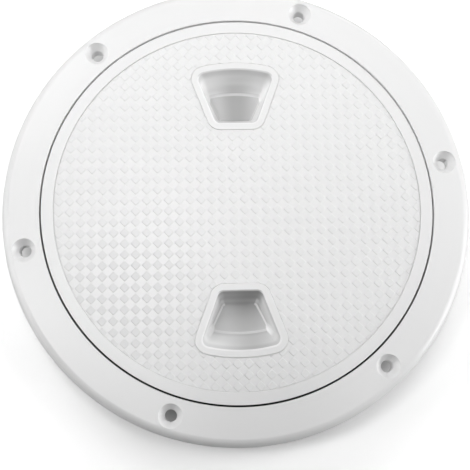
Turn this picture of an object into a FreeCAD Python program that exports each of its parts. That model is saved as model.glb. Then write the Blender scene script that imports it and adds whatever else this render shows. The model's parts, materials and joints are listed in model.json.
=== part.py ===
import FreeCAD, Part
import math
import os

# Round screw-out inspection plate for a deck, in millimetres, +Z up.
# The origin is the middle of the screw-hole circle, in the plane where the flange sits on the deck.
# The two finger wells lie on the Y axis. The wide end of each well points outwards.

# Cover, whose radius sets the place of everything round it and in it
cover_radius = 85.15
border_width = 5.15
rim_thickness = 2.6
plate_thickness = 2.75
field_depth = 0.45
skirt_wall = 3.0
skirt_depth = 10.5
neck_wall = 2.4
neck_clearance = 0.4
cover_rib_count = 8
cover_rib_depth = 5.0
cover_rib_thickness = 2.0
cover_hub_radius = 9.0

# Diamond tread in the field of the cover
tread_pitch = 4.73
tread_shift = 0.5
tread_height = 0.25
tread_slope_run = 0.35
tread_margin = 0.35

# Finger wells, the mouth first and then the floor
well_setback = 17.5
well_length = 25.1
well_inner_half = 9.1
well_side_angle = 20.4
well_corner = 3.0
well_rim = 3.05
well_depth = 11.2
well_inner_slope = 4.6
well_outer_slope = 7.9
well_side_slope = 1.8
well_floor_side_angle = 26.1
well_floor_corner = 1.6
well_floor_round = 1.2
well_wall = 2.4

# Flange of the mounting ring
flange_width = 16.95
flange_height = 8.2
shoulder_width = 4.35
shoulder_drop = 3.6
shoulder_bulge_width = 2.25
shoulder_bulge_drop = 1.05
wall_draft = 0.55
flange_wall = 2.6
edge_break = 0.4
screw_count = 6
screw_setback = 9.25
screw_first_angle = 11.2
screw_bore_radius = 2.6
screw_head_radius = 5.0
screw_head_step = 0.7
screw_cone_depth = 2.5
screw_boss_wall = 3.2
ribs_between_screws = 3
rib_thickness = 1.8

# Seat of the cover and spigot below the deck
cover_gap = 0.9
ledge_height = 2.0
spigot_inset = 2.65
spigot_wall = 3.5
spigot_depth = 24.0

# Thread between ring and cover, right handed
thread_pitch = 5.0
thread_height = 2.6
thread_root_width = 2.8
thread_crest_width = 1.4
thread_turns = 1.75
thread_clearance = 0.6
thread_flank_gap = 0.25

# Seal ring
seal_cord_radius = 1.6
seal_gap = 0.2

# Sizes that follow from the ones above
seat_radius = cover_radius + cover_gap
flange_radius = seat_radius + flange_width
crease_radius = flange_radius - shoulder_width
shoulder_end = flange_radius - wall_draft
screw_circle_radius = flange_radius - screw_setback
spigot_radius = cover_radius - spigot_inset
root_radius = spigot_radius - spigot_wall
ring_crest_radius = root_radius - thread_height
skirt_radius = ring_crest_radius - thread_clearance
cover_crest_radius = skirt_radius + thread_height
rim_underside = flange_height - rim_thickness
field_radius = cover_radius - border_width
field_height = flange_height - field_depth
plate_underside = field_height - plate_thickness
seal_radius = seat_radius - seal_gap - seal_cord_radius
seal_height = ledge_height + seal_gap + seal_cord_radius
neck_radius = seal_radius - seal_cord_radius - seal_gap
well_outer = field_radius - well_setback
well_inner = well_outer - well_length

# Small lengths that only serve the joining and cutting of solids
merge = 0.5
overshoot = 1.0
coincident = 1e-4


def point(radius, height):
    """A point of a section that is turned about the Z axis."""
    return FreeCAD.Vector(radius, 0, height)


def turned(start, *steps):
    """A solid of revolution. A step is a corner, or the middle and end of an arc."""
    edges = []
    here = point(*start)
    for step in steps + (start,):
        if isinstance(step[0], tuple):
            middle, end = point(*step[0]), point(*step[1])
            edges.append(Part.Arc(here, middle, end).toShape())
        else:
            end = point(*step)
            edges.append(Part.LineSegment(here, end).toShape())
        here = end
    face = Part.Face(Part.Wire(edges))
    return face.revolve(FreeCAD.Vector(0, 0, 0), FreeCAD.Vector(0, 0, 1), 360)


def helix_ridge(root, crest, start_height):
    """A trapezoid thread ridge from the root radius to the crest radius, sunk a little in its wall."""
    outward = math.copysign(1, root - crest)
    slope = (thread_root_width - thread_crest_width) / thread_height / 2
    base_half = thread_root_width / 2 + slope * merge
    crest_half = thread_crest_width / 2
    corners = [
        FreeCAD.Vector(root + outward * merge, 0, -base_half),
        FreeCAD.Vector(crest, 0, -crest_half),
        FreeCAD.Vector(crest, 0, crest_half),
        FreeCAD.Vector(root + outward * merge, 0, base_half),
    ]
    section = Part.makePolygon(corners + corners[:1])
    path = Part.makeHelix(thread_pitch, thread_pitch * thread_turns, root)
    ridge = Part.Wire(path.Edges).makePipeShell([section], True, True)
    ridge.translate(FreeCAD.Vector(0, 0, start_height))
    return ridge


def upright(radius, low, high, place):
    """A round post or hole between two heights."""
    base = FreeCAD.Vector(place.x, place.y, low)
    return Part.makeCylinder(radius, high - low, base)


def radial_rib(inner, outer, thickness, low, high, angle):
    """A thin wall that runs outwards from the axis."""
    corner = FreeCAD.Vector(inner, -thickness / 2, low)
    rib = Part.makeBox(outer - inner, thickness, high - low, corner)
    rib.rotate(FreeCAD.Vector(0, 0, 0), FreeCAD.Vector(0, 0, 1), angle)
    return rib


def screw_places():
    """The middles of the screw holes."""
    places = []
    for index in range(screw_count):
        angle = math.radians(screw_first_angle + 360 * index / screw_count)
        x, y = screw_circle_radius * math.cos(angle), screw_circle_radius * math.sin(angle)
        places.append(FreeCAD.Vector(x, y, 0))
    return places


def screw_hole():
    """The room of one countersunk screw: bore, cone and a short straight step for the head."""
    cone_top = flange_height - screw_head_step
    cone_base = cone_top - screw_cone_depth
    return turned(
        (0, -overshoot),
        (screw_bore_radius, -overshoot),
        (screw_bore_radius, cone_base),
        (screw_head_radius, cone_top),
        (screw_head_radius, flange_height + overshoot),
        (0, flange_height + overshoot),
    )


def flange_section():
    """Flange, cover seat and spigot in one turned section, still solid."""
    return turned(
        (root_radius, -spigot_depth),
        (spigot_radius, -spigot_depth),
        (spigot_radius, 0),
        (flange_radius, 0),
        (shoulder_end, flange_height - shoulder_drop),
        ((crease_radius + shoulder_bulge_width, flange_height - shoulder_bulge_drop),
         (crease_radius, flange_height)),
        (seat_radius + edge_break, flange_height),
        (seat_radius, flange_height - edge_break),
        (seat_radius, ledge_height),
        (root_radius, ledge_height),
    )


def underside_pockets():
    """The rooms under the flange, between its rims, the screw bosses and the ribs."""
    inner = seat_radius + flange_wall
    outer = shoulder_end - flange_wall
    trough = turned(
        (inner, -overshoot),
        (outer, -overshoot),
        (outer, flange_height - shoulder_drop),
        (crease_radius, flange_height - flange_wall),
        (inner, flange_height - flange_wall),
    )
    kept = [upright(screw_bore_radius + screw_boss_wall, -overshoot, flange_height, place)
            for place in screw_places()]
    step = 360 / screw_count
    for screw in range(screw_count):
        for rib in range(1, ribs_between_screws + 1):
            angle = screw_first_angle + step * (screw + rib / (ribs_between_screws + 1))
            kept.append(radial_rib(inner - overshoot, outer + overshoot, rib_thickness,
                                   -overshoot, flange_height, angle))
    return trough.cut(kept)


def mounting_ring():
    """The fixed moulding: flange, screw holes, bosses and ribs below, spigot and female thread."""
    body = flange_section().cut(underside_pockets())
    holes = []
    for place in screw_places():
        hole = screw_hole()
        hole.translate(place)
        holes.append(hole)
    body = body.cut(holes).removeSplitter()
    return body.fuse(helix_ridge(root_radius, ring_crest_radius, -skirt_depth))


def well_outline(inner, outer, inner_half, side_angle, corner, grow, height):
    """A trapezoid with round corners, grown all round. Its wide end is an arc about the axis."""
    tilt = math.radians(side_angle)
    side = FreeCAD.Vector(math.sin(tilt), math.cos(tilt), 0)
    across = FreeCAD.Vector(math.cos(tilt), -math.sin(tilt), 0)
    half = inner_half + grow * (1 - math.sin(tilt)) / math.cos(tilt)
    radius = corner + grow
    reach = radius * math.tan((math.pi / 2 - tilt) / 2)
    first = FreeCAD.Vector(half, inner - grow, 0)
    low_start = first - FreeCAD.Vector(reach, 0, 0)
    low_end = first + side * reach
    low_centre = low_start + FreeCAD.Vector(0, radius, 0)
    low_middle = low_centre + (first - low_centre).normalize() * radius
    beside = low_end.dot(across) - radius
    along = math.sqrt((outer + grow - radius)**2 - beside**2)
    high_centre = side * along + across * beside
    outward = FreeCAD.Vector(high_centre).normalize()
    high_start = high_centre + across * radius
    high_middle = high_centre + (across + outward).normalize() * radius
    high_end = high_centre + outward * radius
    right = [low_start, low_middle, low_end, high_start, high_middle, high_end]
    left = [FreeCAD.Vector(-p.x, p.y, 0) for p in reversed(right)]
    crown = FreeCAD.Vector(0, outer + grow, 0)
    edges = [
        Part.Arc(right[0], right[1], right[2]).toShape(),
        Part.LineSegment(right[2], right[3]).toShape(),
        Part.Arc(right[3], right[4], right[5]).toShape(),
        Part.Arc(right[5], crown, left[0]).toShape(),
        Part.Arc(left[0], left[1], left[2]).toShape(),
        Part.LineSegment(left[2], left[3]).toShape(),
        Part.Arc(left[3], left[4], left[5]).toShape(),
        Part.LineSegment(left[5], right[0]).toShape(),
    ]
    wire = Part.Wire(edges)
    wire.translate(FreeCAD.Vector(0, 0, height))
    return wire


def well_mouth(grow, height):
    """The outline of a well at the top of the plate, or of a band round it."""
    return well_outline(well_inner, well_outer, well_inner_half, well_side_angle, well_corner, grow, height)


def well_floor(grow, height):
    """The outline of a well's floor, which is smaller than its mouth all round."""
    inner = well_inner + well_inner_slope
    outer = well_outer - well_outer_slope
    half = well_inner_half - well_side_slope
    return well_outline(inner, outer, half, well_floor_side_angle, well_floor_corner, grow, height)


def well_solid(grow, top, bottom):
    """The room inside a finger well, or with a positive grow the cup round it."""
    return Part.makeLoft([well_floor(grow, bottom), well_mouth(grow, top)], True, True)


def both_ends(shape):
    """A shape and its copy at the other side of the plate."""
    other = shape.copy()
    other.rotate(FreeCAD.Vector(0, 0, 0), FreeCAD.Vector(0, 0, 1), 180)
    return [shape, other]


def cover_body():
    """Plate, border, seal neck and skirt in one turned section."""
    skirt_inner = skirt_radius - skirt_wall
    neck_inner = neck_radius - neck_wall
    neck_bottom = ledge_height + neck_clearance
    return turned(
        (0, plate_underside),
        (skirt_inner, plate_underside),
        (skirt_inner, -skirt_depth),
        (skirt_radius, -skirt_depth),
        (skirt_radius, plate_underside),
        (neck_inner, plate_underside),
        (neck_inner, neck_bottom),
        (neck_radius, neck_bottom),
        (neck_radius, rim_underside),
        (cover_radius, rim_underside),
        (cover_radius, flange_height - edge_break),
        (cover_radius - edge_break, flange_height),
        (field_radius, flange_height),
        (field_radius, field_height),
        (0, field_height),
    )


def tread_places():
    """The middles of the tread diamonds that stay clear of the border and of the well rims."""
    half = tread_pitch / 2
    rims = [Part.Face(outline) for outline in both_ends(well_mouth(well_rim + tread_margin, field_height))]
    reach = math.ceil(field_radius / tread_pitch)
    places = []
    for column in range(-reach, reach):
        for row in range(-reach, reach):
            x = (column + 0.5) * tread_pitch + tread_shift
            y = (row + 0.5) * tread_pitch + tread_shift
            middle = FreeCAD.Vector(x, y, field_height)
            corners = diamond(middle, half)
            if max(corner.x**2 + corner.y**2 for corner in corners) > (field_radius - tread_margin)**2:
                continue
            if any(rim.isInside(spot, coincident, True) for rim in rims for spot in corners + [middle]):
                continue
            places.append(middle)
    return places


def diamond(middle, half):
    """The four corners of a square that stands on its corner."""
    steps = [(half, 0, 0), (0, half, 0), (-half, 0, 0), (0, -half, 0)]
    return [middle + FreeCAD.Vector(*step) for step in steps]


def polygon_face(corners):
    """A flat face with straight sides."""
    return Part.Face(Part.makePolygon(corners + corners[:1]))


def with_tread(body):
    """The cover with a low cut-off pyramid on each diamond, sewn into its flat field."""
    half = tread_pitch / 2
    top_half = half - tread_slope_run * math.sqrt(2)
    lift = FreeCAD.Vector(0, 0, tread_height)
    bases = []
    facets = []
    for middle in tread_places():
        low = diamond(middle, half)
        high = diamond(middle + lift, top_half)
        bases.append(polygon_face(low))
        facets.append(polygon_face(high))
        for side in range(4):
            after = (side + 1) % 4
            facets.append(polygon_face([low[side], low[after], high[after], high[side]]))
    fields = [face for face in body.Faces if face.BoundBox.ZMin > field_height - coincident
              and face.BoundBox.ZMax < field_height + coincident]
    assert len(fields) == 1, "the field is one flat face"
    others = [face for face in body.Faces if not face.isSame(fields[0])]
    return Part.Solid(Part.makeShell(others + fields[0].cut(bases).Faces + facets))


def cover():
    """The lid moulding: tread field, finger wells and their cups, skirt with male thread, ribs."""
    rim = Part.Face(well_mouth(well_rim, field_height - merge))
    rim = rim.extrude(FreeCAD.Vector(0, 0, field_depth + merge))
    floor = flange_height - well_depth
    cup = well_solid(well_wall, plate_underside + merge, floor - well_wall)
    well = well_solid(0, flange_height, floor)
    floor_edges = [edge for edge in well.Edges if edge.BoundBox.ZMax < floor + coincident]
    well = well.makeFillet(well_floor_round, floor_edges)
    low = plate_underside - cover_rib_depth
    high = plate_underside + merge
    outer = skirt_radius - skirt_wall + merge
    ribs = [radial_rib(0, outer, cover_rib_thickness, low, high, 360 * index / cover_rib_count)
            for index in range(cover_rib_count)]
    hub = upright(cover_hub_radius, low, high, FreeCAD.Vector())
    body = cover_body().fuse(both_ends(rim) + both_ends(cup) + ribs + [hub])
    body = body.cut(both_ends(well)).removeSplitter()
    body = body.fuse(helix_ridge(skirt_radius, cover_crest_radius, cover_thread_start()))
    return with_tread(body)


def cover_thread_start():
    """The male ridge lies under the female one, a small flank gap from it."""
    overlap = cover_crest_radius - ring_crest_radius
    slope = (thread_root_width - thread_crest_width) / thread_height / 2
    half_widths = thread_crest_width + slope * overlap
    return thread_pitch - skirt_depth - half_widths - thread_flank_gap


def seal_ring():
    """The rubber cord ring round the neck of the cover."""
    return Part.makeTorus(seal_radius, seal_cord_radius, FreeCAD.Vector(0, 0, seal_height))


nodes = {
    "mounting_ring": mounting_ring(),
    "cover": cover(),
    "seal_ring": seal_ring(),
}
os.makedirs("parts", exist_ok=True)
for name, shape in nodes.items():
    assert shape.isValid() and len(shape.Solids) == 1, name
    shape.exportStep("parts/" + name + ".step")
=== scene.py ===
import json
import math
import bmesh
import bpy
from mathutils import Matrix, Vector


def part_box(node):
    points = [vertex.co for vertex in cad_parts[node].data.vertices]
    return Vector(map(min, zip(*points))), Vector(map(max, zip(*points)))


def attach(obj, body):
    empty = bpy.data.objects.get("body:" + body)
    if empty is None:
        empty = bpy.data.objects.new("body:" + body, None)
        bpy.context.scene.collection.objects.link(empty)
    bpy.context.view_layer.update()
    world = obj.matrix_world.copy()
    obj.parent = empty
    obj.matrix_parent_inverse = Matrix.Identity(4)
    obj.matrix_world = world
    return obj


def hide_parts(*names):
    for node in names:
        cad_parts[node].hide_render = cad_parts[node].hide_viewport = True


# White screw-out inspection plate: a flanged ring with six countersunk screw holes, and a threaded
# cover with a diamond tread and two finger wells. Lengths are in metres, +Z up, as in the frame.

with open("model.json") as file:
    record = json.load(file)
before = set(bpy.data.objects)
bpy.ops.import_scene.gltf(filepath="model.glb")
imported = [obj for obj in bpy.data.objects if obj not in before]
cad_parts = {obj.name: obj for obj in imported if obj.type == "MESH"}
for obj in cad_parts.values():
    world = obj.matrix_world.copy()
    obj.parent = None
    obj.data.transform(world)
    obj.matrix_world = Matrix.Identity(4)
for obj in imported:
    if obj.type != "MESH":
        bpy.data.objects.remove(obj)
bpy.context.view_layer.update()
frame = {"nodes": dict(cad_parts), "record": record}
mounts = {mount["name"]: mount for mount in frame["record"]["mounts"]}
mm = 0.001

# Ring, its overall sizes from the frame
ring_low, ring_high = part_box("mounting_ring")
flange_radius = ring_high.x
flange_top = ring_high.z
spigot_bottom = ring_low.z
screw_circle_radius = mounts["screw_holes"]["dims"]["pcd_mm"] / 2 * mm
screw_count = mounts["screw_holes"]["dims"]["count"]
screw_bore_radius = mounts["screw_holes"]["dims"]["hole_r_mm"] * mm
spigot_radius = mounts["spigot"]["dims"]["r_mm"] * mm
screw_first_angle = math.radians(11.2)
screw_head_radius = 5.0 * mm
screw_head_step = 0.7 * mm
screw_cone_depth = 2.5 * mm
screw_lip = 0.18 * mm
screw_boss_wall = 3.2 * mm
shoulder_width = 4.35 * mm
shoulder_drop = 3.6 * mm
shoulder_bulge_width = 2.25 * mm
shoulder_bulge_drop = 1.05 * mm
wall_draft = 0.55 * mm
flange_wall = 2.6 * mm
rib_thickness = 1.8 * mm
ribs_between_screws = 3
ledge_height = 2.0 * mm
spigot_wall = 3.5 * mm
edge_round = 0.35 * mm
gap_edge_round = 0.2 * mm
foot_round = 0.5 * mm

# Cover, its overall sizes from the frame
cover_low, cover_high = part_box("cover")
cover_radius = cover_high.x
skirt_bottom = cover_low.z
cover_gap = 0.8 * mm
border_width = 5.15 * mm
rim_thickness = 2.6 * mm
plate_thickness = 2.75 * mm
field_depth = 0.45 * mm
step_round = 0.16 * mm
skirt_wall = 3.0 * mm
neck_wall = 2.4 * mm
neck_clearance = 0.4 * mm
cover_rib_count = 8
cover_rib_depth = 5.0 * mm
cover_rib_thickness = 2.0 * mm
cover_hub_radius = 9.0 * mm

# Finger wells
well_setback = 17.5 * mm
well_length = 25.1 * mm
well_inner_half = 9.1 * mm
well_side_angle = math.radians(20.4)
well_corner = 3.0 * mm
well_rim = 3.05 * mm
well_rim_round = 0.3 * mm
well_depth = 11.2 * mm
well_inner_slope = 4.6 * mm
well_outer_slope = 7.9 * mm
well_side_slope = 1.8 * mm
well_floor_side_angle = math.radians(26.1)
well_floor_corner = 1.6 * mm
well_floor_round = 0.9 * mm
well_mouth_round = 0.55 * mm
well_wall = 2.4 * mm
cup_bend_start = 0.85

# Tread
tread_pitch = 4.73 * mm
tread_shift = 0.5 * mm
tread_height = 0.25 * mm
pad_gap = 0.08 * mm
pad_corner_cut = 0.22 * mm
pad_slope_run = 0.3 * mm
pad_knee = (0.65, 0.85)
pad_sink = 0.15 * mm
tread_margin = 0.3 * mm
groove_depth = 0.25 * mm

# Seal ring, whose cord sets the neck of the cover
seal_cord_radius = 1.6 * mm
seal_gap = 0.2 * mm

# Thread
thread_pitch = 5.0 * mm
thread_turns = 1.75
thread_height = 2.6 * mm
thread_root_width = 2.8 * mm
thread_crest_width = 1.4 * mm
thread_clearance = 0.6 * mm
thread_flank_gap = 0.25 * mm
thread_fade = 0.04
thread_end_size = 0.05
thread_steps = 144

# Sizes that follow
seat_radius = cover_radius + cover_gap
root_radius = spigot_radius - spigot_wall
ring_crest_radius = root_radius - thread_height
skirt_radius = ring_crest_radius - thread_clearance
cover_crest_radius = skirt_radius + thread_height
crease_radius = flange_radius - shoulder_width
shoulder_end = flange_radius - wall_draft
field_radius = cover_radius - border_width
field_top = flange_top - field_depth
plate_bottom = field_top - plate_thickness
well_outer = field_radius - well_setback
well_inner = well_outer - well_length
neck_radius = seat_radius - 2 * (seal_cord_radius + seal_gap)

# How finely forms are made, and how far a tool goes into or stands clear of what it works on
turn_steps = 384
small_turn_steps = 64
corner_steps = 10
arc_steps = 12
merge = 0.4 * mm
seat_lift = 0.05 * mm
rim_lift = 0.004 * mm
weld = 0.0005 * mm

# Tones by place. They copy the photograph's light where lamps alone don't give it.
gap_painted_light_range = (0.05, 1.18)
gap_painted_light_from, gap_painted_light_to = -75 * mm, 15 * mm
painted_shade_pads = ((-50 * mm, -40 * mm), 0.93, 46 * mm)
painted_shade_near_side = ((8 * mm, -92 * mm), 0.92, 52 * mm)

# Painted shade, painted light and painted highlights in the wells. A pair is for the near and the far
# well, and one that is named for the near well's middle is for its floor and its wide slope.
well_floor_painted_shade = (0.8, 0.66)
well_wall_painted_light = (1.0, 1.1)
well_top_painted_shade = 0.8
far_well_band_painted_shade = 0.87
near_end_foot_painted_shade = 0.9
near_end_top_painted_shade = 0.6
near_middle_painted_shade = (0.82, 0.76)
near_middle_shade_lines = (2.2 * mm, 5 * mm)
near_middle_shade_reaches = (9 * mm, 14 * mm)
near_side_painted_light = 1.03
far_middle_floor_painted_shade = 0.78
far_middle_slope_painted_shade = 0.93
far_middle_shade_line = 0.8 * mm
far_middle_shade_reach = 11 * mm
far_side_floor_painted_light = 1.2
far_side_wall_painted_light = 1.02
highlight_line_height = 0.7 * mm
wide_foot_highlight_shares = (0.4, 0.65)
side_foot_highlight_shares = (1.0, 0.2)
narrow_corner_highlight_shares = (0.7, 0.0)
mouth_highlight_share = 0.7
mouth_top_highlight_shares = (0.3, 0.2)

# Tones of the table with its painted shadow and light, and the strength of the faint white all round
table_painted_shadow_tone = 0.3
table_open_tone = 1.4
table_painted_shadow_far_side_tone = 0.5
table_painted_light_near_left = ((-100 * mm, -45 * mm), 1.09)
table_lit_tone = 0.6
sky_strength = 0.028


def new_object(name, mesh):
    piece = bpy.data.objects.new(name, mesh)
    bpy.context.scene.collection.objects.link(piece)
    return piece


def object_from(name, work):
    """An object made of a bmesh, with its faces turned outwards."""
    bmesh.ops.recalc_face_normals(work, faces=work.faces)
    mesh = bpy.data.meshes.new(name)
    work.to_mesh(mesh)
    work.free()
    return new_object(name, mesh)


def rounded(corners, steps=4):
    """The points of a closed section. A corner is (radius, height, rounding)."""
    points = []
    for index, (radius, height, rounding) in enumerate(corners):
        here = Vector((radius, height))
        if rounding == 0:
            points.append(here)
            continue
        before = (Vector(corners[index - 1][:2]) - here).normalized()
        after = (Vector(corners[(index + 1) % len(corners)][:2]) - here).normalized()
        half = before.angle(after) / 2
        start = here + before * rounding / math.tan(half)
        centre = here + (before + after).normalized() * rounding / math.sin(half)
        sweep = (math.pi - 2 * half) * (-1 if before.cross(after) > 0 else 1)
        for step in range(steps + 1):
            spoke = start - centre
            spoke.rotate(Matrix.Rotation(sweep * step / steps, 2))
            points.append(centre + spoke)
    return points


def bow(start, middle, end, steps=12):
    """Points between two ends of an arc that passes through a middle point, with the ends left out."""
    a, b, c = (Vector(p) for p in (start, middle, end))
    cross = 2 * ((b - a).cross(c - a))
    ab, ac = (b - a).length_squared, (c - a).length_squared
    offset = Vector((((c - a).y * ab - (b - a).y * ac), ((b - a).x * ac - (c - a).x * ab))) / cross
    centre = a + offset
    first = math.atan2(a.y - centre.y, a.x - centre.x)
    last = math.atan2(c.y - centre.y, c.x - centre.x)
    points = []
    for step in range(1, steps):
        angle = first + (last - first) * step / steps
        x = centre.x + offset.length * math.cos(angle)
        y = centre.y + offset.length * math.sin(angle)
        points.append((x, y, 0))
    return points


def turned(name, points, steps=turn_steps):
    """A solid of revolution about the Z axis."""
    work = bmesh.new()
    rings = []
    for point in points:
        if point.x < weld:
            rings.append([work.verts.new((0, 0, point.y))] * steps)
            continue
        ring = []
        for step in range(steps):
            angle = 2 * math.pi * step / steps
            ring.append(work.verts.new((point.x * math.cos(angle), point.x * math.sin(angle), point.y)))
        rings.append(ring)
    for low, high in zip(rings, rings[1:] + rings[:1]):
        for step in range(steps):
            after = (step + 1) % steps
            corners = [low[step], low[after], high[after], high[step]]
            different = [v for i, v in enumerate(corners) if v not in corners[:i]]
            if len(different) > 2:
                work.faces.new(different)
    return object_from(name, work)


def disc(name, radius, low, high, steps=turn_steps):
    """A round solid about the Z axis between two heights."""
    corners = ((0, low), (radius, low), (radius, high), (0, high))
    return turned(name, [Vector(corner) for corner in corners], steps)


def loft(name, sections):
    """A solid through sections with the same number of points, closed at both ends."""
    work = bmesh.new()
    rings = [[work.verts.new(point) for point in section] for section in sections]
    count = len(rings[0])
    for low, high in zip(rings, rings[1:]):
        for step in range(count):
            after = (step + 1) % count
            work.faces.new([low[step], low[after], high[after], high[step]])
    work.faces.new(rings[0])
    work.faces.new(rings[-1])
    return object_from(name, work)


def block(name, low, high):
    """A plain box between two corners, as a tool for ribs."""
    work = bmesh.new()
    bmesh.ops.create_cube(work, size=1)
    for vertex in work.verts:
        share = vertex.co + Vector((0.5, 0.5, 0.5))
        vertex.co = [a + (b - a) * s for a, b, s in zip(low, high, share)]
    return object_from(name, work)


def settle(piece):
    """Makes the result of a piece's modifiers its own plain mesh."""
    shown = piece.evaluated_get(bpy.context.evaluated_depsgraph_get())
    piece_mesh = bpy.data.meshes.new_from_object(shown)
    piece.modifiers.clear()
    piece.data = piece_mesh
    return piece


def combine(piece, tool, operation):
    """Joins a tool solid to a piece or cuts it out, and removes the tool."""
    step = piece.modifiers.new("combine", "BOOLEAN")
    step.operation = operation
    step.solver = "EXACT"
    step.material_mode = "TRANSFER"
    step.object = tool
    settle(piece)
    bpy.data.objects.remove(tool)
    return piece


def other_end(name, tool):
    """A copy of a tool solid, turned to the other side of the plate."""
    mesh = tool.data.copy()
    mesh.transform(Matrix.Rotation(math.pi, 4, "Z"))
    return new_object(name, mesh)


# Geometry trees for what repeats

def geometry_tree(name, inputs):
    """An empty geometry tree with named inputs."""
    tree = bpy.data.node_groups.new(name, "GeometryNodeTree")
    tree.interface.new_socket("Geometry", in_out="INPUT", socket_type="NodeSocketGeometry")
    for label, kind in inputs:
        tree.interface.new_socket(label, in_out="INPUT", socket_type=kind)
    tree.interface.new_socket("Geometry", in_out="OUTPUT", socket_type="NodeSocketGeometry")
    return tree, tree.nodes.new("NodeGroupInput")


def add(tree, kind, links=(), **settings):
    """A node with its settings, and with what feeds its inputs: a value or another node's output."""
    node = tree.nodes.new(kind)
    for key, value in settings.items():
        setattr(node, key, value)
    for socket, source in links:
        if isinstance(source, bpy.types.NodeSocket):
            tree.links.new(source, node.inputs[socket])
        else:
            node.inputs[socket].default_value = source
    return node


def result_of(tree, operation, first, second):
    """The output of a Math node."""
    return add(tree, "ShaderNodeMath", [(0, first), (1, second)], operation=operation).outputs[0]


def finish_tree(tree, mesh, material):
    """Ends a tree with real geometry and its material."""
    real = add(tree, "GeometryNodeRealizeInstances", [("Geometry", mesh)])
    coated = add(tree, "GeometryNodeSetMaterial", [("Geometry", real.outputs[0]), ("Material", material)])
    add(tree, "NodeGroupOutput", [(0, coated.outputs[0])])


def grown(name, tree, values):
    """A plain mesh object from a geometry tree with these input values."""
    piece = new_object(name, bpy.data.meshes.new(name))
    step = piece.modifiers.new("grown", "NODES")
    step.node_group = tree
    for item in tree.interface.items_tree:
        if item.in_out == "INPUT" and item.name in values:
            step[item.identifier] = values[item.name]
    return settle(piece)


def copies_on_circle_tree(material):
    """Copies of a shape on a circle about the Z axis, each turned with its place."""
    inputs = [("Shape", "NodeSocketObject"), ("Count", "NodeSocketInt"),
              ("Radius", "NodeSocketFloat"), ("First Angle", "NodeSocketFloat")]
    tree, given = geometry_tree("copies_on_circle", inputs)
    index = add(tree, "GeometryNodeInputIndex").outputs[0]
    step = result_of(tree, "DIVIDE", 2 * math.pi, given.outputs["Count"])
    angle = result_of(tree, "ADD", result_of(tree, "MULTIPLY", index, step), given.outputs["First Angle"])
    across = result_of(tree, "MULTIPLY", result_of(tree, "COSINE", angle, 0.0), given.outputs["Radius"])
    along = result_of(tree, "MULTIPLY", result_of(tree, "SINE", angle, 0.0), given.outputs["Radius"])
    place = add(tree, "ShaderNodeCombineXYZ", [("X", across), ("Y", along)]).outputs[0]
    turn = add(tree, "ShaderNodeCombineXYZ", [("Z", angle)]).outputs[0]
    points = add(tree, "GeometryNodePoints", [("Count", given.outputs["Count"]), ("Position", place)])
    shape = add(tree, "GeometryNodeObjectInfo", [("Object", given.outputs["Shape"])])
    copies = add(tree, "GeometryNodeInstanceOnPoints", [
        ("Points", points.outputs[0]), ("Instance", shape.outputs["Geometry"]), ("Rotation", turn)])
    finish_tree(tree, copies.outputs[0], material)
    return tree


def tread_tree(material):
    """Pads on a square lattice, cut off where the tread area ends."""
    inputs = [("Pad", "NodeSocketObject"), ("Area", "NodeSocketObject"), ("Pitch", "NodeSocketFloat"),
              ("Shift", "NodeSocketFloat"), ("Rows", "NodeSocketInt"), ("Reach", "NodeSocketFloat")]
    tree, given = geometry_tree("tread", inputs)
    rows = given.outputs["Rows"]
    size = result_of(tree, "MULTIPLY", result_of(tree, "SUBTRACT", rows, 1.0), given.outputs["Pitch"])
    grid = add(tree, "GeometryNodeMeshGrid", [
        ("Size X", size), ("Size Y", size), ("Vertices X", rows), ("Vertices Y", rows)])
    shift = add(tree, "ShaderNodeCombineXYZ", [
        ("X", given.outputs["Shift"]), ("Y", given.outputs["Shift"])])
    moved = add(tree, "GeometryNodeSetPosition", [
        ("Geometry", grid.outputs[0]), ("Offset", shift.outputs[0])])
    position = add(tree, "GeometryNodeInputPosition").outputs[0]
    distance = add(tree, "ShaderNodeVectorMath", [(0, position)], operation="LENGTH").outputs["Value"]
    near = result_of(tree, "LESS_THAN", distance, given.outputs["Reach"])
    pad = add(tree, "GeometryNodeObjectInfo", [("Object", given.outputs["Pad"])])
    copies = add(tree, "GeometryNodeInstanceOnPoints", [
        ("Points", moved.outputs[0]), ("Selection", near), ("Instance", pad.outputs["Geometry"])])
    real = add(tree, "GeometryNodeRealizeInstances", [("Geometry", copies.outputs[0])])
    area = add(tree, "GeometryNodeObjectInfo", [("Object", given.outputs["Area"])])
    meshes = [("Mesh 2", real.outputs[0]), ("Mesh 2", area.outputs["Geometry"])]
    cut = add(tree, "GeometryNodeMeshBoolean", meshes, operation="INTERSECT", solver="EXACT")
    finish_tree(tree, cut.outputs[0], material)
    return tree


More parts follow.
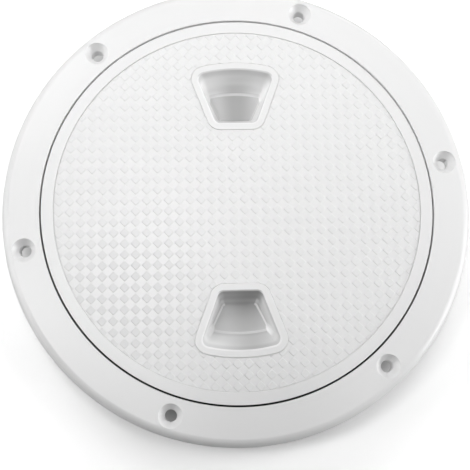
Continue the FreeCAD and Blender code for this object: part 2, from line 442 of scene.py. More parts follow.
def thread_tree(material):
    """A ridge that climbs round a cylinder, fading out at both ends."""
    inputs = [("Section", "NodeSocketObject"), ("Radius", "NodeSocketFloat"), ("Turns", "NodeSocketFloat"),
              ("Climb", "NodeSocketFloat"), ("Start", "NodeSocketFloat"), ("Fade", "NodeSocketFloat")]
    tree, given = geometry_tree("thread_ridge", inputs)
    climb = result_of(tree, "MULTIPLY", given.outputs["Turns"], given.outputs["Climb"])
    spiral = add(tree, "GeometryNodeCurveSpiral", [
        ("Resolution", thread_steps), ("Rotations", given.outputs["Turns"]), ("Height", climb),
        ("Start Radius", given.outputs["Radius"]), ("End Radius", given.outputs["Radius"])])
    lift = add(tree, "ShaderNodeCombineXYZ", [("Z", given.outputs["Start"])])
    placed = add(tree, "GeometryNodeSetPosition", [
        ("Geometry", spiral.outputs[0]), ("Offset", lift.outputs[0])])
    upright = add(tree, "GeometryNodeSetCurveNormal", [("Curve", placed.outputs[0])])
    share = add(tree, "GeometryNodeSplineParameter").outputs["Factor"]
    from_end = result_of(tree, "SUBTRACT", 1.0, share)
    nearest = result_of(tree, "MINIMUM", share, from_end)
    full = result_of(tree, "DIVIDE", nearest, given.outputs["Fade"])
    thick = result_of(tree, "MAXIMUM", result_of(tree, "MINIMUM", full, 1.0), thread_end_size)
    sized = add(tree, "GeometryNodeSetCurveRadius", [("Curve", upright.outputs[0]), ("Radius", thick)])
    section = add(tree, "GeometryNodeObjectInfo", [("Object", given.outputs["Section"])])
    outline = add(tree, "GeometryNodeMeshToCurve", [("Mesh", section.outputs["Geometry"])])
    ridge = add(tree, "GeometryNodeCurveToMesh", [
        ("Curve", sized.outputs[0]), ("Profile Curve", outline.outputs[0]), ("Fill Caps", True)])
    finish_tree(tree, ridge.outputs[0], material)
    return tree


# Finishes

def group(name, inputs, outputs):
    """An empty shader group with named inputs and outputs."""
    tree = bpy.data.node_groups.new(name, "ShaderNodeTree")
    for label, value in inputs:
        socket = tree.interface.new_socket(label, in_out="INPUT", socket_type="NodeSocketFloat")
        socket.default_value = value
    for label, kind in outputs:
        tree.interface.new_socket(label, in_out="OUTPUT", socket_type=kind)
    return tree, tree.nodes.new("NodeGroupInput"), tree.nodes.new("NodeGroupOutput")


def moulding_group():
    """Flow marks, fine grain and a roughness that wanders, as moulded plastic has. Sizes are in mm."""
    inputs = [("Tone", 0.86), ("Tone Swing", 0.012), ("Roughness", 0.3), ("Roughness Swing", 0.05),
              ("Grain Size", 0.5), ("Flow Size", 20.0)]
    outputs = [("Color", "NodeSocketColor"), ("Roughness", "NodeSocketFloat"),
               ("Height", "NodeSocketFloat")]
    tree, given, result = group("moulded_surface", inputs, outputs)
    place = add(tree, "ShaderNodeTexCoord").outputs["Object"]
    flow_scale = result_of(tree, "DIVIDE", 1 / mm, given.outputs["Flow Size"])
    grain_scale = result_of(tree, "DIVIDE", 1 / mm, given.outputs["Grain Size"])
    flow = add(tree, "ShaderNodeTexNoise", [
        ("Vector", place), ("Scale", flow_scale), ("Detail", 3.0), ("Distortion", 0.6)]).outputs[0]
    grain = add(tree, "ShaderNodeTexNoise", [
        ("Vector", place), ("Scale", grain_scale), ("Detail", 2.0)]).outputs[0]
    centred = result_of(tree, "SUBTRACT", flow, 0.5)

    def swinging(label):
        """A value that wanders with the flow marks."""
        swing = result_of(tree, "MULTIPLY", centred, given.outputs[label + " Swing"])
        return result_of(tree, "ADD", swing, given.outputs[label])

    tone, roughness = swinging("Tone"), swinging("Roughness")
    color = add(tree, "ShaderNodeCombineColor", [(0, tone), (1, tone), (2, tone)]).outputs[0]
    tree.links.new(color, result.inputs["Color"])
    tree.links.new(roughness, result.inputs["Roughness"])
    tree.links.new(grain, result.inputs["Height"])
    return tree


def plastic(name, surface, tone, tone_swing, roughness, roughness_swing, grain_size, grain_depth):
    """A material for one finish of the white moulding."""
    material = bpy.data.materials.new(name)
    material.use_nodes = True
    tree = material.node_tree
    shader = tree.nodes["Principled BSDF"]
    finish = tree.nodes.new("ShaderNodeGroup")
    finish.node_tree = surface
    values = {"Tone": tone, "Tone Swing": tone_swing, "Roughness": roughness,
              "Roughness Swing": roughness_swing, "Grain Size": grain_size}
    for label, value in values.items():
        finish.inputs[label].default_value = value
    bump = add(tree, "ShaderNodeBump", [
        ("Height", finish.outputs["Height"]), ("Distance", grain_depth), ("Strength", 1.0)])
    tree.links.new(finish.outputs["Color"], shader.inputs["Base Color"])
    tree.links.new(finish.outputs["Roughness"], shader.inputs["Roughness"])
    tree.links.new(bump.outputs[0], shader.inputs["Normal"])
    shader.inputs["IOR"].default_value = 1.5
    return material


def ramp(tree, value, start, end, low=0.0, high=1.0):
    """A value that goes smoothly from low to high while another goes from start to end."""
    return add(tree, "ShaderNodeMapRange", [(0, value), (1, start), (2, end), (3, low), (4, high)],
               interpolation_type="SMOOTHSTEP").outputs[0]


moulded = moulding_group()

# The smooth plastic's roughness stays above 0.274 all over. Below that the denoiser treats a
# surface in another way, which shows as patches.
smooth_white = plastic("white_plastic_satin", moulded, tone=0.84, tone_swing=0.008,
                       roughness=0.29, roughness_swing=0.03, grain_size=0.45, grain_depth=0.003 * mm)
pad_white = plastic("white_plastic_tread", moulded, tone=0.82, tone_swing=0.014,
                    roughness=0.55, roughness_swing=0.06, grain_size=0.35, grain_depth=0.008 * mm)
# The wells' plastic is a little darker than the rest: painted shade
well_white_painted_shade = plastic("white_plastic_well_painted_shade", moulded, tone=0.79, tone_swing=0.014,
                     roughness=0.38, roughness_swing=0.04, grain_size=0.45, grain_depth=0.003 * mm)
rubber = plastic("black_rubber", moulded, tone=0.02, tone_swing=0.006,
                 roughness=0.6, roughness_swing=0.08, grain_size=0.3, grain_depth=0.02 * mm)
copies_tree = copies_on_circle_tree(smooth_white)


def copies(name, shape, count, radius, first_angle):
    """Copies of a tool solid on a circle, as one object. The tool itself is removed."""
    values = {"Shape": shape, "Count": count, "Radius": radius, "First Angle": first_angle}
    made = grown(name, copies_tree, values)
    bpy.data.objects.remove(shape)
    return made


def thread_ridge(name, tree, root, crest, start):
    """The thread ridge between two radii. Its section is a trapezoid on the root circle."""
    outward = 1 if crest > root else -1
    foot, top = -merge * outward, thread_height * outward
    corners = [(foot, -thread_root_width / 2), (top, -thread_crest_width / 2),
               (top, thread_crest_width / 2), (foot, thread_root_width / 2)]
    work = bmesh.new()
    ring = [work.verts.new((across, up, 0)) for across, up in corners]
    for index, corner in enumerate(ring):
        work.edges.new((corner, ring[(index + 1) % len(ring)]))
    mesh = bpy.data.meshes.new("section")
    work.to_mesh(mesh)
    work.free()
    section = new_object("section", mesh)
    ridge = grown(name, tree, {"Section": section, "Radius": root, "Turns": thread_turns,
                               "Climb": thread_pitch, "Start": start, "Fade": thread_fade})
    bpy.data.objects.remove(section)
    return ridge


def ring_section():
    """Flange with its hollow underside, cover seat and spigot."""
    pocket_top = flange_top - flange_wall
    pocket_in = seat_radius + flange_wall
    pocket_out = shoulder_end - flange_wall
    shoulder_low = (shoulder_end, flange_top - shoulder_drop)
    bulge = (crease_radius + shoulder_bulge_width, flange_top - shoulder_bulge_drop)
    crease = (crease_radius, flange_top)
    return rounded([
        (root_radius, spigot_bottom, foot_round),
        (spigot_radius, spigot_bottom, foot_round),
        (spigot_radius, 0, 0),
        (pocket_in, 0, edge_round),
        (pocket_in, pocket_top, foot_round),
        (crease_radius, pocket_top, foot_round),
        (pocket_out, flange_top - shoulder_drop, foot_round),
        (pocket_out, 0, edge_round),
        (flange_radius, 0, edge_round),
        (shoulder_low[0], shoulder_low[1], 0),
        *bow(shoulder_low, bulge, crease),
        (crease[0], crease[1], 0),
        (seat_radius, flange_top, gap_edge_round),
        (seat_radius, ledge_height, edge_round),
        (root_radius, ledge_height, edge_round),
    ])


def screw_tool():
    """The room of one countersunk screw, with a small lip rounded off at the top."""
    cone_top = flange_top - screw_head_step
    cone_low = cone_top - screw_cone_depth
    above = flange_top + mm
    lip = []
    lip_steps = 4
    for step in range(lip_steps + 1):
        angle = math.pi / 2 * step / lip_steps
        lip.append(Vector((screw_head_radius + screw_lip * (1 - math.cos(angle)),
                           flange_top - screw_lip * (1 - math.sin(angle)))))
    lip[-1].y += rim_lift
    return turned("screw_room", [
        Vector((0, -mm)), Vector((screw_bore_radius, -mm)), Vector((screw_bore_radius, cone_low)),
        Vector((screw_head_radius, cone_top)), *lip, Vector((lip[-1].x, above)), Vector((0, above))],
        small_turn_steps)


def mounting_ring():
    """The fixed moulding with its bosses, ribs, screw holes and female thread."""
    body = turned("ring_moulding", ring_section())
    body.data.materials.append(smooth_white)
    roof = flange_top - flange_wall / 2
    boss_radius = screw_bore_radius + screw_boss_wall
    boss = disc("boss", boss_radius, seat_lift, roof, small_turn_steps)
    combine(body, copies("bosses", boss, screw_count, screw_circle_radius, screw_first_angle), "UNION")
    step = 2 * math.pi / screw_count / (ribs_between_screws + 1)
    inner, outer = seat_radius + flange_wall / 2, shoulder_end - flange_wall / 2
    rib_top = flange_top - flange_wall + merge
    for number in range(1, ribs_between_screws + 1):
        rib = block("rib", (inner, -rib_thickness / 2, seat_lift), (outer, rib_thickness / 2, rib_top))
        ribs = copies("ribs", rib, screw_count, 0.0, screw_first_angle + number * step)
        combine(body, ribs, "UNION")
    screws = copies("screw_rooms", screw_tool(), screw_count, screw_circle_radius, screw_first_angle)
    combine(body, screws, "DIFFERENCE")
    thread = thread_ridge("female_thread", threads, root_radius, ring_crest_radius, skirt_bottom)
    return combine(body, thread, "UNION")


def well_outline(inner, outer, inner_half, side_angle, corner, grow):
    """A trapezoid with round corners, grown all round. Its wide end is an arc about the plate's axis."""
    side = Vector((math.sin(side_angle), math.cos(side_angle)))
    across = Vector((math.cos(side_angle), -math.sin(side_angle)))
    half = inner_half + grow * (1 - math.sin(side_angle)) / math.cos(side_angle)
    radius = corner + grow
    reach = radius * math.tan((math.pi / 2 - side_angle) / 2)
    low_centre = Vector((half - reach, inner - grow + radius))
    beside = low_centre.dot(across)
    along = math.sqrt((outer + grow - radius) ** 2 - beside ** 2)
    high_centre = side * along + across * beside
    end_angle = math.atan2(high_centre.x, high_centre.y)
    right = []
    for step in range(corner_steps + 1):
        turn = -math.pi / 2 + (math.pi / 2 - side_angle) * step / corner_steps
        right.append(low_centre + Vector((math.cos(turn), math.sin(turn))) * radius)
    for step in range(corner_steps + 1):
        turn = -side_angle + (math.pi / 2 - end_angle + side_angle) * step / corner_steps
        right.append(high_centre + Vector((math.cos(turn), math.sin(turn))) * radius)
    for step in range(1, arc_steps):
        turn = end_angle * (1 - step / arc_steps)
        right.append(Vector((math.sin(turn), math.cos(turn))) * (outer + grow))
    return right + [Vector((0, outer + grow))] + [Vector((-p.x, p.y)) for p in reversed(right)]


def mouth(grow):
    """The outline of a well at the top of the plate."""
    return well_outline(well_inner, well_outer, well_inner_half, well_side_angle, well_corner, grow)


def well_floor(grow):
    """The outline of a well's floor."""
    inner, outer = well_inner + well_inner_slope, well_outer - well_outer_slope
    half = well_inner_half - well_side_slope
    return well_outline(inner, outer, half, well_floor_side_angle, well_floor_corner, grow)


def tone_parts(material):
    """What a tone by place is made from: the tree, its base colour input and the place."""
    tree = material.node_tree
    base = tree.nodes["Principled BSDF"].inputs["Base Color"]
    return tree, base, add(tree, "ShaderNodeTexCoord").outputs["Object"]


def axes_of(tree, place):
    """The X, Y and Z of a place."""
    return add(tree, "ShaderNodeSeparateXYZ", [(0, place)]).outputs


def scaled(tree, base, factor):
    """The colour that feeds an input now, times a factor."""
    links = [(0, base.links[0].from_socket), (3, factor)]
    return add(tree, "ShaderNodeVectorMath", links, operation="SCALE").outputs[0]


def length_of(tree, vector):
    """The length of a vector."""
    return add(tree, "ShaderNodeVectorMath", [(0, vector)], operation="LENGTH").outputs["Value"]


def well_painted_shade_and_highlights(material):
    """Painted shade and highlights in the wells: a darker floor, top, end and middle, and light lines
    where faces turn.
    """
    tree, base, place = tone_parts(material)
    axes = axes_of(tree, place)
    height = result_of(tree, "SUBTRACT", axes["Z"], flange_top - well_depth)
    across = result_of(tree, "ABSOLUTE", axes["X"], 0.0)
    along = result_of(tree, "ABSOLUTE", axes["Y"], 0.0)
    radius = length_of(tree, place)
    narrow_foot = well_inner + well_inner_slope
    wide_foot = well_outer - well_outer_slope

    def by_well(near, far):
        """A value for the near well and one for the far well."""
        return ramp(tree, axes["Y"], -mm, mm, near, far)

    def by_height(start, end, low=0.0, high=1.0):
        """A value that changes between two heights above the well's floor."""
        return ramp(tree, height, start, end, low, high)

    def product(*values):
        """Several values multiplied."""
        total = values[0]
        for value in values[1:]:
            total = result_of(tree, "MULTIPLY", total, value)
        return total

    def highest(*values):
        """The highest of several values."""
        top = values[0]
        for value in values[1:]:
            top = result_of(tree, "MAXIMUM", top, value)
        return top

    def distance(value, foot, lean):
        """How far a value is from a line that starts at the well's foot and leans with the height."""
        line = result_of(tree, "ADD", result_of(tree, "MULTIPLY", height, lean), foot)
        return result_of(tree, "ABSOLUTE", result_of(tree, "SUBTRACT", value, line), 0.0)

    # Painted shade on the floor, top, wide end of the far well, and narrow end of the near well
    floor_fade = (0.4 * mm, by_well(3.5 * mm, 1.4 * mm))
    deep = by_height(*floor_fade, by_well(*well_floor_painted_shade), by_well(*well_wall_painted_light))
    high = by_height(well_depth - 3.5 * mm, well_depth - mm, 1.0, well_top_painted_shade)
    band_fade = (well_outer - 5 * mm, well_outer - 2 * mm)
    band = ramp(tree, radius, *band_fade, 1.0, by_well(1.0, far_well_band_painted_shade))
    beside_end = distance(axes["Y"], -narrow_foot, well_inner_slope / well_depth)
    end_tone = by_height(2 * mm, 6.5 * mm, near_end_foot_painted_shade, near_end_top_painted_shade)
    end = ramp(tree, beside_end, 0.2 * mm, 3.6 * mm, end_tone, 1.0)

    # Painted shade in the middle of both wells, wider and further right on the near well's slope
    on_slope = (tree, radius, wide_foot - mm, wide_foot + 3 * mm)
    middle_line = by_well(ramp(*on_slope, *near_middle_shade_lines), far_middle_shade_line)
    middle_start = by_well(0.0, mm)
    middle_end = by_well(ramp(*on_slope, *near_middle_shade_reaches), far_middle_shade_reach)
    near_tone = ramp(*on_slope, *near_middle_painted_shade)
    far_tone = by_height(3.5 * mm, 5.5 * mm, far_middle_floor_painted_shade, far_middle_slope_painted_shade)
    middle_tone = by_well(near_tone, far_tone)
    side_tone = by_well(near_side_painted_light, by_height(0.0, 3 * mm, far_side_floor_painted_light, far_side_wall_painted_light))
    beside_middle = distance(axes["X"], middle_line, 0.0)
    middle = ramp(tree, beside_middle, middle_start, middle_end, middle_tone, side_tone)
    color = scaled(tree, base, product(deep, high, end, band, middle))

    # Painted highlight lines at the floor's wide end and at its other sides
    low = product(by_height(0.0, 0.15 * highlight_line_height),
                  by_height(highlight_line_height, 1.5 * highlight_line_height, 1.0, 0.0))
    wide = ramp(tree, radius, wide_foot - 1.4 * mm, wide_foot - 0.9 * mm)
    lines = [product(low, wide, by_well(*wide_foot_highlight_shares))]
    narrow_corner = corner_steps // 2
    wide_corner = narrow_corner + corner_steps + 1
    corners = {}
    for number in (narrow_corner, wide_corner):
        foot = well_floor(0)[number].x
        corners[number] = (foot, (mouth(0)[number].x - foot) / well_depth)
    narrow_half = corners[narrow_corner][0]
    side = ramp(tree, across, narrow_half - mm, narrow_half - 0.4 * mm)
    side = result_of(tree, "MAXIMUM", side, ramp(tree, along, narrow_foot + mm, narrow_foot + 1.5 * mm))
    not_wide = result_of(tree, "SUBTRACT", 1.0, wide)
    lines.append(product(low, side, not_wide, by_well(*side_foot_highlight_shares)))

    # Painted highlight lines up the corners between the walls, and round the mouth
    near_end = ramp(tree, along, narrow_foot - mm, narrow_foot + mm, 1.0, 0.0)
    shares = {narrow_corner: product(near_end, by_well(*narrow_corner_highlight_shares)), wide_corner: 1.0}
    for number, share in shares.items():
        edge = ramp(tree, distance(across, *corners[number]), 0.3 * mm, 0.9 * mm, 1.0, 0.0)
        lines.append(product(edge, share, by_height(3 * mm, 6 * mm, 1.0, 0.0)))
    near_share, far_share = mouth_top_highlight_shares
    mouth_line = by_well(
        ramp(tree, axes["Y"], -well_inner - mm, -well_inner, mouth_highlight_share, near_share),
        ramp(tree, radius, well_outer - mm, well_outer, mouth_highlight_share, far_share))
    lines.append(product(by_height(well_depth - 0.5 * mm, well_depth - 0.2 * mm), mouth_line))
    mixed = add(tree, "ShaderNodeMix", [(0, highest(*lines)), (6, color), (7, (1, 1, 1, 1))],
                data_type="RGBA")
    tree.links.new(mixed.outputs[2], base)


def gap_painted_shade_and_light(material):
    """The ring's wall in the gap round the cover: painted shade on the near side, painted light on the far
    side.
    """
    tree, base, place = tone_parts(material)
    axes = axes_of(tree, place)
    flat = add(tree, "ShaderNodeCombineXYZ", [("X", axes["X"]), ("Y", axes["Y"])]).outputs[0]
    from_wall = result_of(tree, "SUBTRACT", length_of(tree, flat), seat_radius)
    beside = ramp(tree, result_of(tree, "ABSOLUTE", from_wall, 0.0), 0.05 * mm, 0.15 * mm, 1.0, 0.0)
    deep = ramp(tree, axes["Z"], flange_top - 0.6 * mm, flange_top - 0.15 * mm, 1.0, 0.0)
    tone = ramp(tree, axes["Y"], gap_painted_light_from, gap_painted_light_to, *gap_painted_light_range)
    share = result_of(tree, "MULTIPLY", beside, deep)
    factor = add(tree, "ShaderNodeMix", [(0, share), (2, 1.0), (3, tone)]).outputs[0]
    tree.links.new(scaled(tree, base, factor), base)


def distance_from(tree, place, spot):
    """The distance between a place and a spot."""
    links = [(0, place), (1, spot)]
    return add(tree, "ShaderNodeVectorMath", links, operation="DISTANCE").outputs["Value"]


def painted_shade_spot(material, spot, middle_tone, reach):
    """Painted shade: a slightly darker tone round one place."""
    tree, base, place = tone_parts(material)
    away = distance_from(tree, place, (*spot, field_top))
    tone = ramp(tree, away, 0.2 * reach, reach, middle_tone, 1.0)
    tree.links.new(scaled(tree, base, tone), base)


def at(outline, height):
    """A flat outline at a height."""
    return [Vector((p.x, p.y, height)) for p in outline]


def between(first, second, share):
    """A section part of the way between two others."""
    return [a.lerp(b, share) for a, b in zip(first, second)]


def bend(first, corner, last, steps=8):
    """Sections of a rounding that leaves the first section towards the corner and ends in the last."""
    sections = []
    for step in range(steps + 1):
        share = step / steps
        sections.append(between(between(first, corner, share), between(corner, last, share), share))
    return sections


def well_tool():
    """The room in a finger well, with a rounded mouth and a round foot to its walls."""
    floor_height = flange_top - well_depth
    top, low = at(mouth(0), flange_top), at(well_floor(0), floor_height)
    lip = at(mouth(well_mouth_round), flange_top + rim_lift)
    sections = [at(mouth(well_mouth_round), flange_top + mm)]
    sections += bend(lip, top, between(top, low, well_mouth_round / well_depth))
    foot = between(top, low, 1 - well_floor_round / well_depth)
    sections += bend(foot, low, at(well_floor(-well_floor_round), floor_height))
    return loft("well_room", sections)


def well_band():
    """The raised band round a well's mouth."""
    outer = mouth(well_rim)
    side = at(outer, flange_top - well_rim_round)
    edge = at(outer, flange_top)
    lid = at(mouth(well_rim - well_rim_round), flange_top)
    return loft("well_band", [at(outer, field_top - merge)] + bend(side, edge, lid, 3))


def band_groove():
    """The room of the fine groove at the foot of a well's band."""
    rim = mouth(well_rim + tread_margin)
    bottom = at(mouth(well_rim + tread_margin / 2), field_top - groove_depth)
    return loft("band_groove", [bottom, at(rim, field_top), at(rim, flange_top)])


def well_cup():
    """The outside of a well below the plate."""
    bottom = flange_top - well_depth - well_wall
    top, low = at(mouth(well_wall), plate_bottom + merge), at(well_floor(well_wall), bottom)
    bend_start = between(top, low, cup_bend_start)
    return loft("well_cup", [top] + bend(bend_start, low, at(well_floor(well_wall / 2), bottom), 4))


def cover_section():
    """Plate, border, seal neck and skirt."""
    skirt_inner = skirt_radius - skirt_wall
    neck_inner = neck_radius - neck_wall
    neck_bottom = ledge_height + neck_clearance
    return rounded([
        (0, plate_bottom, 0),
        (skirt_inner, plate_bottom, foot_round),
        (skirt_inner, skirt_bottom, edge_round),
        (skirt_radius, skirt_bottom, foot_round),
        (skirt_radius, plate_bottom, edge_round),
        (neck_inner, plate_bottom, edge_round),
        (neck_inner, neck_bottom, edge_round),
        (neck_radius, neck_bottom, edge_round),
        (neck_radius, flange_top - rim_thickness, edge_round),
        (cover_radius, flange_top - rim_thickness, edge_round),
        (cover_radius, flange_top, gap_edge_round),
        (field_radius, flange_top, step_round),
        (field_radius, field_top - groove_depth, 0),
        (field_radius - tread_margin / 2, field_top - groove_depth, 0),
        (field_radius - tread_margin, field_top, 0),
        (0, field_top, 0),
    ])


def tread_pad():
    """One diamond pad with a flat top and cut corners, sunk a little into the plate."""
    half = tread_pitch / 2 - pad_gap
    run = pad_slope_run * math.sqrt(2)
    cut = pad_corner_cut
    rings = [(half, -pad_sink), (half, 0), (half - run * pad_knee[0], tread_height * pad_knee[1]),
             (half - run, tread_height)]
    sections = []
    for reach, height in rings:
        section = []
        for quarter in range(4):
            turn = Matrix.Rotation(math.pi / 2 * quarter, 2)
            for x, y in ((reach - cut, -cut), (reach - cut, cut)):
                spot = turn @ Vector((x, y))
                section.append(Vector((spot.x, spot.y, field_top + height)))
        sections.append(section)
    return loft("pad", sections)


def tread_area():
    """The room of the pads: the field without the bands round the wells and the grooves at its steps."""
    low, high = field_top - mm, flange_top + mm
    area = disc("tread_area", field_radius - tread_margin, low, high)
    rim = mouth(well_rim + tread_margin)
    band = loft("band_room", [at(rim, low - mm), at(rim, high + mm)])
    combine(area, other_end("band_room_near", band), "DIFFERENCE")
    return combine(area, band, "DIFFERENCE")


def cover():
    """The lid moulding with its tread, finger wells, ribs and male thread."""
    body = turned("cover_moulding", cover_section())
    body.data.materials.append(smooth_white)
    for tool, operation in ((band_groove(), "DIFFERENCE"), (well_band(), "UNION"), (well_cup(), "UNION")):
        combine(body, other_end("near_side", tool), operation)
        combine(body, tool, operation)
    low, high = plate_bottom - cover_rib_depth, plate_bottom + merge
    rib_reach = skirt_radius - skirt_wall / 2
    rib_half = cover_rib_thickness / 2
    rib = block("rib", (-rib_reach, -rib_half, low), (rib_reach, rib_half, high))
    for number in range(cover_rib_count // 2):
        spoke = new_object("spoke", rib.data.copy())
        spoke.data.transform(Matrix.Rotation(2 * math.pi * number / cover_rib_count, 4, "Z"))
        combine(body, spoke, "UNION")
    bpy.data.objects.remove(rib)
    combine(body, disc("hub", cover_hub_radius, low, high, small_turn_steps), "UNION")
    well = well_tool()
    well.data.materials.append(well_white_painted_shade)
    combine(body, other_end("well_near", well), "DIFFERENCE")
    combine(body, well, "DIFFERENCE")
    overlap = cover_crest_radius - ring_crest_radius
    slope = (thread_root_width - thread_crest_width) / thread_height / 2
    start = skirt_bottom + thread_pitch - thread_crest_width - slope * overlap - thread_flank_gap
    thread = thread_ridge("male_thread", threads, skirt_radius, cover_crest_radius, start)
    combine(body, thread, "UNION")
    pad, area = tread_pad(), tread_area()
    rows = 2 * math.ceil(field_radius / tread_pitch)
    tread = grown("tread", tread_tree(pad_white), {
        "Pad": pad, "Area": area, "Pitch": tread_pitch, "Shift": tread_shift, "Rows": rows,
        "Reach": field_radius + tread_pitch / 2})
    for tool in (pad, area):
        bpy.data.objects.remove(tool)
    return body, tread


def joined(name, pieces):
    """Several meshes as one object, each with its own material."""
    work = bmesh.new()
    materials = []
    for piece in pieces:
        first = len(work.faces)
        work.from_mesh(piece.data)
        work.faces.ensure_lookup_table()
        slots = []
        for material in piece.data.materials:
            if material not in materials:
                materials.append(material)
            slots.append(materials.index(material))
        for face in work.faces[first:]:
            face.material_index = slots[min(face.material_index, len(slots) - 1)]
        bpy.data.objects.remove(piece)
    mesh = bpy.data.meshes.new(name)
    work.to_mesh(mesh)
    work.free()
    for material in materials:
        mesh.materials.append(material)
    return new_object(name, mesh)


def shade(piece, crease=math.radians(32)):
    """Smooth faces, sharp edges where the form turns hard, and normals that keep flat faces flat."""
    work = bmesh.new()
    work.from_mesh(piece.data)
    bmesh.ops.remove_doubles(work, verts=work.verts, dist=weld)
    bmesh.ops.dissolve_degenerate(work, edges=work.edges, dist=weld)
    for face in work.faces:
        face.smooth = True
    for edge in work.edges:
        edge.smooth = len(edge.link_faces) == 2 and edge.calc_face_angle(0) < crease
    work.to_mesh(piece.data)
    work.free()
    weigh = piece.modifiers.new("weigh", "WEIGHTED_NORMAL")
    weigh.keep_sharp = True
    return settle(piece)


# Painted shade and highlights in the wells, painted shade and light in the gap, painted shade round two
# spots
well_painted_shade_and_highlights(well_white_painted_shade)
gap_painted_shade_and_light(smooth_white)
painted_shade_spot(pad_white, *painted_shade_pads)
painted_shade_spot(pad_white, *painted_shade_near_side)
painted_shade_spot(smooth_white, *painted_shade_near_side)
threads = thread_tree(smooth_white)
ring_piece = shade(mounting_ring())
plate, tread = cover()
cover_piece = shade(joined("cover_moulding", [plate, tread]))
seal = frame["nodes"]["seal_ring"]
seal.data.materials.clear()
seal.data.materials.append(rubber)
for piece, node, body in ((ring_piece, "mounting_ring", "ring"), (cover_piece, "cover", "cover")):
    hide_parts(node)
    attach(piece, body)


# Floor, light and camera

def floor_material():
    """A white table. The camera sees it brighter away from the plate, so that it ends in plain white."""
    material = bpy.data.materials.new("white_table")
    material.use_nodes = True
    tree = material.node_tree
    shader = tree.nodes["Principled BSDF"]
    shader.inputs["Roughness"].default_value = 0.7
    shader.inputs["Emission Color"].default_value = (1, 1, 1, 1)
    place = add(tree, "ShaderNodeTexCoord").outputs["Object"]
    radius = length_of(tree, place)

    # Painted shadow: darker below the flange, and more so below its far side, where it shows through a
    # screw hole
    open_fade = (flange_radius - 9 * mm, flange_radius + 11 * mm)
    open_tone = ramp(tree, radius, *open_fade, table_painted_shadow_tone, table_open_tone)
    along = axes_of(tree, place)["Y"]
    below_far_side = ramp(tree, along, 40 * mm, 60 * mm, 1.0, table_painted_shadow_far_side_tone)
    shadow_below_far_side = ramp(tree, radius, flange_radius + 7 * mm, flange_radius + 11 * mm, below_far_side, 1.0)
    # Painted light: a little lighter on the near left
    spot, spot_tone = table_painted_light_near_left
    away = distance_from(tree, place, (*spot, spigot_bottom))
    near_left = ramp(tree, away, 35 * mm, 85 * mm, spot_tone, 1.0)
    below = result_of(tree, "MULTIPLY", open_tone, shadow_below_far_side)
    seen_tone = result_of(tree, "MULTIPLY", below, near_left)
    seen = add(tree, "ShaderNodeLightPath").outputs["Is Camera Ray"]
    tone = add(tree, "ShaderNodeMix", [(0, seen), (2, table_lit_tone), (3, seen_tone)]).outputs[0]
    tree.links.new(tone, shader.inputs["Base Color"])
    glow = ramp(tree, radius, flange_radius + 30 * mm, flange_radius + 250 * mm)
    tree.links.new(result_of(tree, "MULTIPLY", glow, seen), shader.inputs["Emission Strength"])
    return material


def floor():
    """The white table under the plate."""
    work = bmesh.new()
    bmesh.ops.create_grid(work, x_segments=1, y_segments=1, size=3)
    for vertex in work.verts:
        vertex.co.z = spigot_bottom
    table = object_from("table", work)
    table.data.materials.append(floor_material())


def soft_box(name, place, width, depth, watts, beam=180, aim_far=0.0):
    """An area light that faces the plate. Below 180 degrees its beam is narrower and fades sidewards."""
    lamp = bpy.data.lights.new(name, "AREA")
    lamp.shape = "RECTANGLE"
    lamp.size, lamp.size_y = width, depth
    lamp.energy = watts
    lamp.spread = math.radians(beam)
    box = new_object(name, lamp)
    box.location = place
    box.rotation_euler = (Vector((0, aim_far, 0)) - Vector(place)).to_track_quat("-Z", "Y").to_euler()


def off_plate(turn, rise, distance):
    """A place round the plate's middle. In degrees, turn is from +X and rise is from the table."""
    level = distance * math.cos(math.radians(rise))
    return (level * math.cos(math.radians(turn)), level * math.sin(math.radians(turn)),
            distance * math.sin(math.radians(rise)))


def sky():
    """A faint white all round, and plain white behind the scene."""
    world = bpy.data.worlds.new("studio")
    world.use_nodes = True
    bpy.context.scene.world = world
    tree = world.node_tree
    back = tree.nodes["Background"]
    back.inputs["Color"].default_value = (1, 1, 1, 1)
    back.inputs["Strength"].default_value = sky_strength
    plain = add(tree, "ShaderNodeBackground", [("Color", (1, 1, 1, 1)), ("Strength", 1.0)])
    seen = add(tree, "ShaderNodeLightPath").outputs["Is Camera Ray"]
    mix = add(tree, "ShaderNodeMixShader", [(0, seen), (1, back.outputs[0]), (2, plain.outputs[0])])
    tree.links.new(mix.outputs[0], tree.nodes["World Output"].inputs["Surface"])


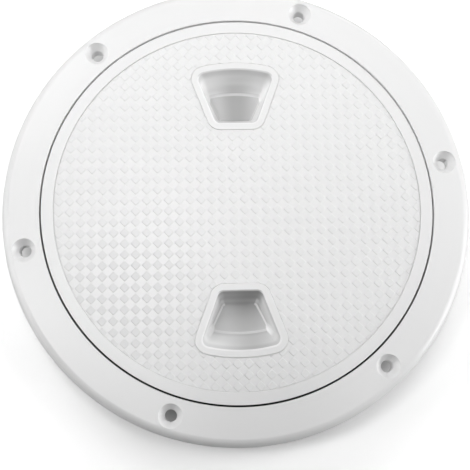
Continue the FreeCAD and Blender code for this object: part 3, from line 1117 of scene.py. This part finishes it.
def camera():
    """The photograph's viewpoint: nearly from above, from the side of the near well."""
    tilt, roll, turn = math.radians(10.694), math.radians(-11.08), math.radians(-12.25)
    distance, focal_pixels, image_pixels = 339.64 * mm, 786.889, 470
    aim = Vector((1.0915, -13.254, 0)) * mm
    back = Vector((0, -math.sin(tilt), math.cos(tilt)))
    level_right = Vector((1, 0, 0))
    level_up = Vector((0, math.cos(tilt), math.sin(tilt)))
    right = math.cos(roll) * level_right - math.sin(roll) * level_up
    up = math.sin(roll) * level_right + math.cos(roll) * level_up
    axes = Matrix((right, up, back)).transposed().to_4x4()
    axes.translation = aim + back * distance
    eye = bpy.data.cameras.new("eye")
    eye.sensor_width = 36
    eye.lens = focal_pixels * eye.sensor_width / image_pixels
    eye.clip_start, eye.clip_end = 0.01, 20
    holder = new_object("eye", eye)
    holder.matrix_world = Matrix.Translation((0, 0, flange_top)) @ Matrix.Rotation(turn, 4, "Z") @ axes
    bpy.context.scene.camera = holder


floor()
sky()

# Each light: name, place, width and depth, watts, and for a beam its angle and how far off it aims
soft_box("right_strip", off_plate(350, 12, 1.0), 0.7, 0.2, 5.07)
soft_box("right_front", off_plate(335, 20, 1.0), 0.3, 0.3, 0.8)
soft_box("right_window", off_plate(0, 48, 0.5), 0.25, 0.25, 0.388)
soft_box("right_beam", off_plate(10, 48, 0.5), 0.2, 0.2, 0.016, 40, 0.05)
soft_box("left_strip", off_plate(185, 12, 1.0), 0.7, 0.2, 2.46)
soft_box("left_window", off_plate(180, 38, 1.0), 0.3, 0.3, 0.44)
soft_box("left_beam", off_plate(180, 38, 1.0), 0.3, 0.3, 0.038, 20, 0.05)
soft_box("far_strip", off_plate(72, 10, 1.0), 0.7, 0.15, 1.2)
soft_box("far_left_window", off_plate(135, 45, 0.45), 0.2, 0.2, 0.538)
soft_box("far_window", off_plate(80, 45, 0.45), 0.3, 0.15, 0.099)
soft_box("far_beam", off_plate(80, 45, 0.45), 0.3, 0.15, 0.0194, 45, 0.04)
soft_box("far_right_window", off_plate(35, 45, 0.45), 0.2, 0.2, 0.109)
soft_box("overhead_far", (-0.08, 0.14, 0.8), 0.12, 0.12, 0.41)
soft_box("overhead_middle", (-0.13, 0.03, 0.8), 0.12, 0.12, 0.305)
soft_box("overhead_left", (-0.35, 0, 0.8), 0.12, 0.12, 0.846)
camera()
bpy.context.scene.view_settings.view_transform = "Standard"
